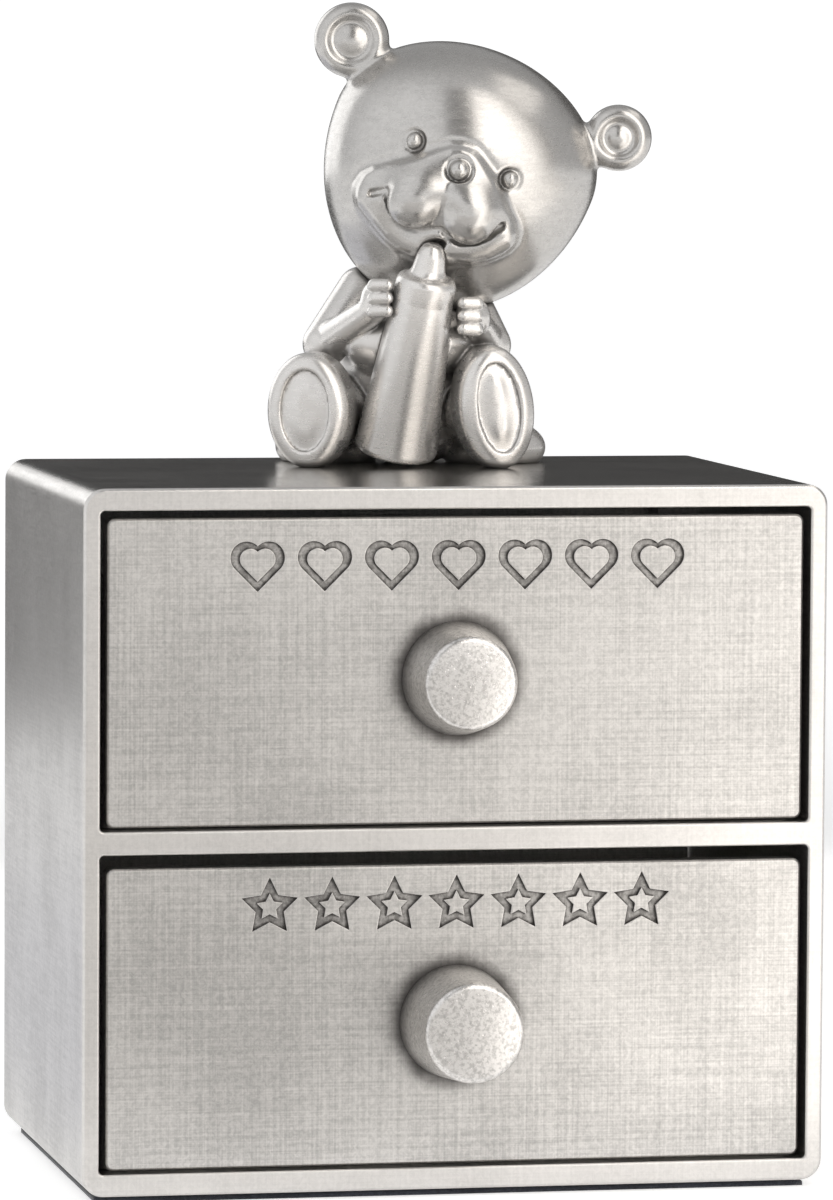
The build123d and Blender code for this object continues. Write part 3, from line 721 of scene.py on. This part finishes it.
def grid_values(field, low, high, pitch, block=6):
    """The distance on a grid: exact near the skin, and only its sign elsewhere."""
    blocks = [int(math.ceil((b - a) / (pitch * block))) for a, b in zip(low, high)]
    middles = np.stack(np.meshgrid(*((np.arange(n) + 0.5) * block * pitch + a
                                     for a, n in zip(low, blocks)), indexing="ij"), -1)
    coarse = field(middles.reshape(-1, 3)).reshape(blocks)
    value = coarse.copy()
    for axis in range(3):
        value = np.repeat(value, block, axis)
    near = np.argwhere(np.abs(coarse) < block * pitch * 1.5)
    offsets = np.argwhere(np.ones((block,) * 3, bool))
    nodes = (near[:, None, :] * block + offsets).reshape(-1, 3)
    value[tuple(nodes.T)] = field(np.array(low) + nodes * pitch)
    return value


def surface_net(field, low, high, pitch):
    """The points and quads of the skin of a distance formula."""
    value = grid_values(field, low, high, pitch)
    total = np.zeros([n + 1 for n in value.shape] + [3])
    hits = np.zeros([n + 1 for n in value.shape])
    crossings = []
    for axis in range(3):
        near = np.moveaxis(value, axis, 0)[:-1]
        far = np.moveaxis(value, axis, 0)[1:]
        at = np.argwhere(np.moveaxis((near < 0) != (far < 0), 0, axis))
        onward = np.zeros(3, int)
        onward[axis] = 1
        a, b = value[tuple(at.T)], value[tuple((at + onward).T)]
        spot = np.array(low) + (at + onward * (a / (a - b))[:, None]) * pitch
        others = [i for i in range(3) if i != axis]
        cells = []
        for p, q in ((0, 0), (1, 0), (1, 1), (0, 1)):
            cell = at + 1
            cell[:, others[0]] -= p
            cell[:, others[1]] -= q
            np.add.at(total, tuple(cell.T), spot)
            np.add.at(hits, tuple(cell.T), 1)
            cells.append(cell)
        crossings.append((cells, (a < 0) != (axis == 1)))
    number = np.full(hits.shape, -1)
    number[hits > 0] = np.arange((hits > 0).sum())
    points = total[hits > 0] / hits[hits > 0][:, None]
    quads = []
    for cells, flip in crossings:
        quad = np.stack([number[tuple(cell.T)] for cell in cells], 1)
        quads.append(np.where(flip[:, None], quad, quad[:, ::-1]))
    for _ in range(4):
        slope = slope_at(field, points)
        pull = field(points) / np.maximum((slope ** 2).sum(1), 0.25)
        points = points - slope * np.clip(pull, -pitch, pitch)[:, None]
    return points, np.concatenate(quads)


def outward_at(field, points):
    """The unit step away from the skin at each point."""
    outward = slope_at(field, points)
    return outward / np.maximum(np.linalg.norm(outward, axis=1, keepdims=True), 1e-9)


def mark_creases(piece, closed_in):
    """Keeps how closed-in each point is, for the finish to read."""
    crease = piece.data.attributes.new("crease", "FLOAT", "POINT")
    crease.data.foreach_set("value", closed_in.astype(np.float32))


def sculpt(name, field, low, high, pitch, around):
    """A mesh of a distance formula in the bear's frame, with its creases as an attribute."""
    points, quads = surface_net(field, low, high, pitch)
    outward = outward_at(field, points)
    # Painted shade to come: how closed-in each point is by the bear, the bottle and the top of the
    # case.
    open_air = 0
    for reach in (0.25, 0.6, 1.3):
        open_air = open_air + np.clip(around(points + outward * reach) / reach, 0, 1) / 3
    placed = (points @ turn_matrix.T + bear_seat) * MM
    piece = add_mesh(name, placed.tolist(), quads.tolist())
    mark_creases(piece, 1 - open_air)
    print(name, len(points), "points, creases of up to", round(float(1 - open_air.min()), 2))
    return piece


def whole_bear(points):
    """Everything near a point of the bear: itself, the bottle and the top of the case."""
    return np.minimum(np.minimum(head_field(points), body_field(points)),
                      np.minimum(bottle_field(points), points[:, 2]))


# %% [markdown]
# ## The bear's finish
# The bear is smoother than the case: it is tumbled and wiped by hand, so the light runs over
# it in soft bands. Every crease is darkened, partly by the dark bath and partly as painted
# shade where the bear, the bottle and the top of the case close in. The sculpting step
# measured how closed-in each point is, and the finish reads that number. The body and the
# bottle get a lighter copy of the head's pewter, which is painted light.

# %% Bear's pewter and its three castings
def body_painted_light(finish):
    """Painted light: the body and the bottle are made lighter than the head, in soft clouds."""
    return finish.noise((0.3, 0.3, 0.3), detail=2.0) * 0.4 + 0.35


def crease_patina_and_shade(finish):
    # Darkest in the creases: the bath's dark and painted shade, from how closed-in each point is.
    crease = finish.node("Attribute", {"attribute_name": "crease"}, output="Fac")
    blotch = finish.noise((0.8, 0.8, 0.8), detail=2.0) * 0.16
    return finish.fade(crease + blotch, 0.42, 0.95) * 0.6


PITCH = 0.18
bear_pewter = pewter("bear_pewter", [(0.7, 0.7, 2.6)], crease_patina_and_shade, rough=0.26,
                     grain_depth=0.0012, streak_depth=0.0004, film=0.12, speckle=0.6,
                     contrast=0.3, dim=0.3)
# A lighter copy of the bear's pewter for the body and the bottle: painted light.
lit_body_pewter = pewter("lit_body_pewter", [(0.7, 0.7, 2.6)], crease_patina_and_shade, rough=0.28,
                     grain_depth=0.0015, streak_depth=0.0005, film=0.25, speckle=0.4,
                     contrast=0.25, wear_and_light=body_painted_light)


def without_bottle(points):
    """The head with the teat's hole in its mouth."""
    return carve(head_field(points), bottle_field(points) - 0.03)


head_piece = sculpt("cast_head", without_bottle, (-13, -14, 8), (21, 12, 41), PITCH, whole_bear)
body_piece = sculpt("cast_body", body_field, (-13, -12, -1), (13, 10, 18), PITCH, whole_bear)
for piece, node, metal in ((head_piece, "bear_head", bear_pewter),
                           (body_piece, "bear_body", lit_body_pewter)):
    dress(piece, metal)
    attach(piece, "cabinet")
    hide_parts(node)

# %% [markdown]
# ## Turning the bottle
# The outline is a short list of corners. Each corner is rounded by cutting it twice, and the
# outline then goes round the axis in even steps.

# %% Turn the bottle
def rounded(outline, size):
    """An outline with its inner corners cut twice, by at most size."""
    points = [Vector(p) for p in outline]
    for reach in (size, size / 3):
        cut = [points[0]]
        for before, corner, after in zip(points, points[1:], points[2:]):
            for other in (before, after):
                way = other - corner
                cut.append(corner + way.normalized() * min(reach, way.length / 3))
        points = cut + [points[-1]]
    return points


def turned(name, outline, sides=96):
    """A solid of revolution about Z; the outline starts and ends on the axis."""
    rings = [p for p in outline if p.x > 1e-6]
    points = [(0, 0, outline[0].y)]
    for p in rings:
        for i in range(sides):
            angle = 2 * math.pi * i / sides
            points.append((p.x * math.cos(angle), p.x * math.sin(angle), p.y))
    points.append((0, 0, outline[-1].y))
    faces = [(0, 1 + (i + 1) % sides, 1 + i) for i in range(sides)]
    for r in range(len(rings) - 1):
        low, high = 1 + r * sides, 1 + (r + 1) * sides
        faces += [(low + i, low + (i + 1) % sides, high + (i + 1) % sides, high + i)
                  for i in range(sides)]
    last = len(points) - 1
    faces += [(last, last - sides + i, last - sides + (i + 1) % sides) for i in range(sides)]
    return add_mesh(name, points, faces)


cap_top = BARREL_LENGTH + CAP_LENGTH
bottle_outline = rounded([
    (0, 0.35), (BARREL_RADII[0] - 0.9, 0.3), (BARREL_RADII[0] - 0.5, 0.0),
    (BARREL_RADII[0], 0.45), (BARREL_RADII[1] + 0.05, BARREL_LENGTH - 0.4),
    (BARREL_RADII[1], BARREL_LENGTH), (CAP_RADIUS, BARREL_LENGTH + 0.1),
    (CAP_RADIUS, cap_top - 0.35), (CAP_RADIUS - 0.4, cap_top), (TEAT_RADIUS + 0.3, cap_top + 0.05),
    (TEAT_RADIUS, cap_top + 0.4), (TEAT_TIP, cap_top + TEAT_LENGTH - 0.8),
    (TEAT_TIP * 0.6, cap_top + TEAT_LENGTH), (0, cap_top + TEAT_LENGTH)], 0.22)
bottle_piece = turned("cast_bottle", bottle_outline)
bottle_frame = Matrix.Translation(bottle_foot) @ Matrix(bottle_turn).to_4x4()
bear_frame = Matrix.Translation(bear_seat) @ Matrix(turn_matrix).to_4x4()
bottle_piece.data.transform(Matrix.Scale(MM, 4) @ bear_frame @ bottle_frame)

own = np.array([v.co for v in bottle_piece.data.vertices]) / MM
own = (own - bear_seat) @ turn_matrix
outward = outward_at(bottle_field, own)


def beside_bottle(points):
    """What stands round the bottle, without the bottle itself."""
    bear = np.minimum(head_field(points), body_field(points))
    return np.minimum(bear, points[:, 2])


# Painted shade: the bottle darkens where the bear and the top of the case close in on it.
closed_in = sum(1 - np.clip(beside_bottle(own + outward * r) / r, 0, 1) for r in (0.4, 0.9)) / 2
mark_creases(bottle_piece, closed_in * 0.5)
dress(bottle_piece, lit_body_pewter)
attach(bottle_piece, "cabinet")
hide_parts("bear_bottle")
print("bottle:", len(bottle_piece.data.vertices), "points")

# %% [markdown]
# ## Velvet and felt
# Each drawer has a velvet pad on its floor, and the chest stands on a felt. Both are soft, so
# neither stays a block. The velvet is a thin cushion that swells a little in the middle and
# draws down at its edges. The felt is a flat sheet with a slightly ragged cut.

# %% Cloth finishes
def pile(name, dark, light, weave, depth_mm):
    """Short fibres: fine noise, lighter at a grazing angle."""
    finish = Finish(name)
    fibres = finish.noise((weave, weave, weave), detail=4.0, rough=0.7)
    nap = finish.noise((0.12, 0.3, 0.3), detail=2.0)
    tone = finish.fade(fibres * 0.5 + nap * 0.5, 0.36, 0.66)
    return finish.shade(Base_Color=finish.mix(tone, dark, light), Roughness=0.95,
                        Sheen_Weight=0.5, Sheen_Roughness=0.4,
                        Normal=finish.bump(fibres, depth_mm))


velvet = pile("drawer_velvet", colour(0.018, 0.024, 0.075), colour(0.045, 0.06, 0.16), 7.0, 0.08)
felt = pile("base_felt", colour(0.012, 0.014, 0.02), colour(0.04, 0.045, 0.06), 4.0, 0.12)


EDGE_POWER = 16


def soft_slab(name, low, high, crown, across=48, along=32, wave=0.0, seed=1):
    """A closed thin slab with a swelling top, drawn in at its edges."""
    rng = np.random.default_rng(seed)
    bumps = rng.uniform(-1, 1, (6, 4))
    points, faces = [], []
    for layer in (0, 1):
        for j in range(along + 1):
            for i in range(across + 1):
                u, v = i / across, j / along
                edge = (1 - (2 * u - 1) ** EDGE_POWER) * (1 - (2 * v - 1) ** EDGE_POWER)
                ripple = sum(b[0] * math.sin(6.3 * (b[1] * u + b[2] * v) * 1.7 + 6 * b[3])
                             for b in bumps) / 6
                x = low.x + (high.x - low.x) * u + wave * ripple * (1 - edge)
                y = low.y + (high.y - low.y) * v + wave * ripple * (1 - edge)
                lift = (high.z - low.z) * (0.55 + 0.45 * edge) - crown * (1 - math.sin(
                    math.pi * u) ** 0.5 * math.sin(math.pi * v) ** 0.5)
                points.append((x, y, low.z + (lift + wave * ripple * 0.3 if layer else 0.0)))
    row, sheet = across + 1, (across + 1) * (along + 1)
    for j in range(along):
        for i in range(across):
            a = j * row + i
            faces.append((a, a + row, a + row + 1, a + 1))
            faces.append((sheet + a, sheet + a + 1, sheet + a + row + 1, sheet + a + row))
    rim = [*range(across), *(across + j * row for j in range(along)),
           *(along * row + i for i in range(across, 0, -1)),
           *(j * row for j in range(along, 0, -1))]
    for a, b in zip(rim, rim[1:] + rim[:1]):
        faces.append((a, b, sheet + b, sheet + a))
    return add_mesh(name, [Vector(p) * MM for p in points], faces)


for drawer in ("upper", "lower"):
    node = drawer + "_drawer_lining"
    low, high = (Vector(p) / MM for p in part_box(node))
    pad = soft_slab(drawer + "_velvet_pad", low, high, crown=0.25, wave=0.08, seed=3)
    dress(pad, velvet)
    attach(pad, drawer + "_drawer")
    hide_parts(node)

low, high = (Vector(p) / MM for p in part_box("base_felt"))
felt_piece = soft_slab("felt_sheet", low, high, crown=0.0, wave=0.1, seed=5)
dress(felt_piece, felt)
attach(felt_piece, "cabinet")
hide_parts("base_felt")
print("soft pieces are laid")

# %% [markdown]
# ## Studio
# Polished metal shows its surroundings, so the surroundings are built like a set. Cards
# stand close round the chest, out of the picture. In front, a bright warm one stands to the
# right, and beside its left edge a dark flag, which runs down the bear's forehead as a dark
# band. Two low bright cards and two grey ones give the drawers their light half and their
# darker half. Behind, a bright card rims the head, a dark one shows in the top of the case,
# and a dark and a cool one shade the case's side from its upper end to its lower one. Round
# them is a soft grey room with a broad lighter patch to the left. The camera itself sees a
# pale floor that runs into a pale backdrop.

# %% Cards and paper
WHITE = (1.0, 1.0, 1.0)
WARM = (1.0, 0.965, 0.925)
HALF_WARM = (1.0, 0.98, 0.955)
COOL = (0.93, 0.94, 1.0)


def card(name, corners, material, seen=False):
    """A flat card between its corners, in millimetres."""
    piece = add_mesh(name, [Vector(c) * MM for c in corners], [range(len(corners))], False)
    dress(piece, material)
    piece.visible_camera = seen


def paper(name, shade, glow=0.0, tint=WHITE):
    """Plain paper with the faintest mottle, lit from within where it glows."""
    finish = Finish(name)
    mottle = finish.noise((0.004, 0.004, 0.004), detail=2.0)
    low, high = (colour(*(shade * part * t for t in tint)) for part in (0.97, 1.0))
    return finish.shade(Base_Color=finish.mix(mottle, low, high), Roughness=0.9,
                        Emission_Color=colour(*tint), Emission_Strength=glow)


def lit_card(name, corners, start, end, tint):
    """A glowing card that fades from its left end to its right one."""
    finish = Finish(name)
    places = [corner[0] for corner in corners]
    left, wide = min(places), max(places) - min(places)
    share = finish.fade(finish.axis("X"), left + 0.15 * wide, left + 0.8 * wide)
    first, last = (colour(*(t * level / start for t in tint)) for level in (start, end))
    card(name, corners, finish.shade(Base_Color=colour(0.0, 0.0, 0.0), Roughness=1.0,
                                     Emission_Color=finish.mix(share, first, last),
                                     Emission_Strength=start))


FRONT, LOW_FRONT, BACK = -170, -144, 200
LIFT, FLOOR_REACH = 0.3, 4000

# The glow at the left end and at the right one, the tint and the corners
LIT_CARDS = {
    "front_card": (2.7, 0.35, WARM, [(2, FRONT, 125), (28, FRONT, 72), (340, FRONT, 20),
                                     (430, FRONT, 640), (85, FRONT, 640)]),
    "low_card": (2.45, 1.1, WARM, [(44, LOW_FRONT, 0), (300, LOW_FRONT, 0),
                                   (300, LOW_FRONT, 60), (72, LOW_FRONT, 60)]),
    "right_card": (1.5, 1.4, WARM, [(340, FRONT, 400), (341, BACK, 400), (341, BACK, 820),
                                    (340, FRONT, 820)]),
    "bright_floor_card": (2.2, 1.2, WARM, [(44, LOW_FRONT + 1, LIFT), (300, LOW_FRONT + 1, LIFT),
                                           (300, -40, LIFT), (10, -50, LIFT)]),
    "rim_card": (1.9, 1.8, WHITE, [(-260, BACK, 68), (-39, BACK, 68), (-60, BACK, 300),
                                   (-260, BACK, 300)]),
}

# The paper's shade, its glow, the tint and the corners
PAPER_CARDS = {
    "dark_flag": (0.04, 0.08, WHITE, [(-66, FRONT, 106), (3, FRONT, 106), (84, FRONT, 640),
                                      (-50, FRONT, 640)]),
    "grey_card": (0.04, 0.79, HALF_WARM, [(-220, LOW_FRONT, 0), (43, LOW_FRONT, 0),
                                          (70, LOW_FRONT, 56), (-220, LOW_FRONT, 56)]),
    "grey_floor_card": (0.04, 0.67, HALF_WARM, [(-220, LOW_FRONT, LIFT), (43, LOW_FRONT, LIFT),
                                                (9, -50, LIFT), (-220, -50, LIFT)]),
    "side_floor_card": (0.04, 0.78, COOL, [(-150, 10, LIFT), (-36, 10, LIFT),
                                           (-50, BACK, LIFT), (-150, BACK, LIFT)]),
    "back_card": (0.03, 0.0, WHITE, [(-36, BACK, 22), (250, BACK, 22), (250, BACK, 230),
                                     (20, BACK, 150), (-32, BACK, 105)]),
    "side_card": (0.05, 0.0, WHITE, [(-115, BACK, 16), (-37, BACK, 16), (-37, BACK, 67),
                                     (-115, BACK, 67)]),
}

card("floor", [(x * FLOOR_REACH, y * FLOOR_REACH, 0)
               for x, y in ((-1, -1), (1, -1), (1, 1), (-1, 1))],
     paper("floor_paper", 0.8, 0.5), seen=True)
for name, (start, end, tint, corners) in LIT_CARDS.items():
    lit_card(name, corners, start, end, tint)
for name, (shade, glow, tint, corners) in PAPER_CARDS.items():
    card(name, corners, paper(name + "_paper", shade, glow, tint))

# %% [markdown]
# ## The room
# The room is a sum over directions: even grey, a broad patch of light to the left, less
# behind and to the right. The backdrop is a great white dome that only the camera sees, so
# that it doesn't wash out what the metal reflects.

# %% The room's light and the backdrop
class Room(Finish):
    """The world's light, as sums on the direction in which a ray leaves."""

    def __init__(self, name):
        self.world = bpy.data.worlds.new(name)
        self.world.use_nodes = True
        self.tree = self.world.node_tree
        self.tree.nodes.clear()
        self.place = self.node("TexCoord", output="Generated")

    def toward(self, azimuth, elevation, low, high):
        """Rises to 1 towards a direction; azimuth 0 is in front and grows to the right."""
        turn, rise = math.radians(azimuth), math.radians(elevation)
        aim = (math.sin(turn) * math.cos(rise), -math.cos(turn) * math.cos(rise), math.sin(rise))
        along = self.node("VectorMath", {"operation": "DOT_PRODUCT"},
                          {0: self.place, 1: aim}, output="Value")
        return self.fade(along, low, high)

    def light(self, strength, tint):
        glow = self.node("Background", None, {"Strength": strength, "Color": colour(*tint)})
        end = self.tree.nodes.new("ShaderNodeOutputWorld")
        self.tree.links.new(glow.socket, end.inputs["Surface"])
        bpy.context.scene.world = self.world


room = Room("studio")
strength = room.toward(-55, 15, 0.1, 0.95) * 0.4 + 0.66
strength = strength - room.toward(180, 25, 0.1, 0.9) * 0.24
room.light(strength - room.toward(95, 0, 0.3, 0.95) * 0.14, (0.985, 0.99, 1.0))

bpy.ops.mesh.primitive_uv_sphere_add(segments=48, ring_count=24, radius=3.9)
dome = bpy.context.object
dome.name = "backdrop"
dress(dome, paper("backdrop_paper", 0.0, 1.05))
for kind in ("diffuse", "glossy", "transmission", "volume_scatter", "shadow"):
    setattr(dome, "visible_" + kind, False)
bpy.context.scene.view_settings.view_transform = "Standard"
print("the room has", len(room.tree.nodes), "nodes")
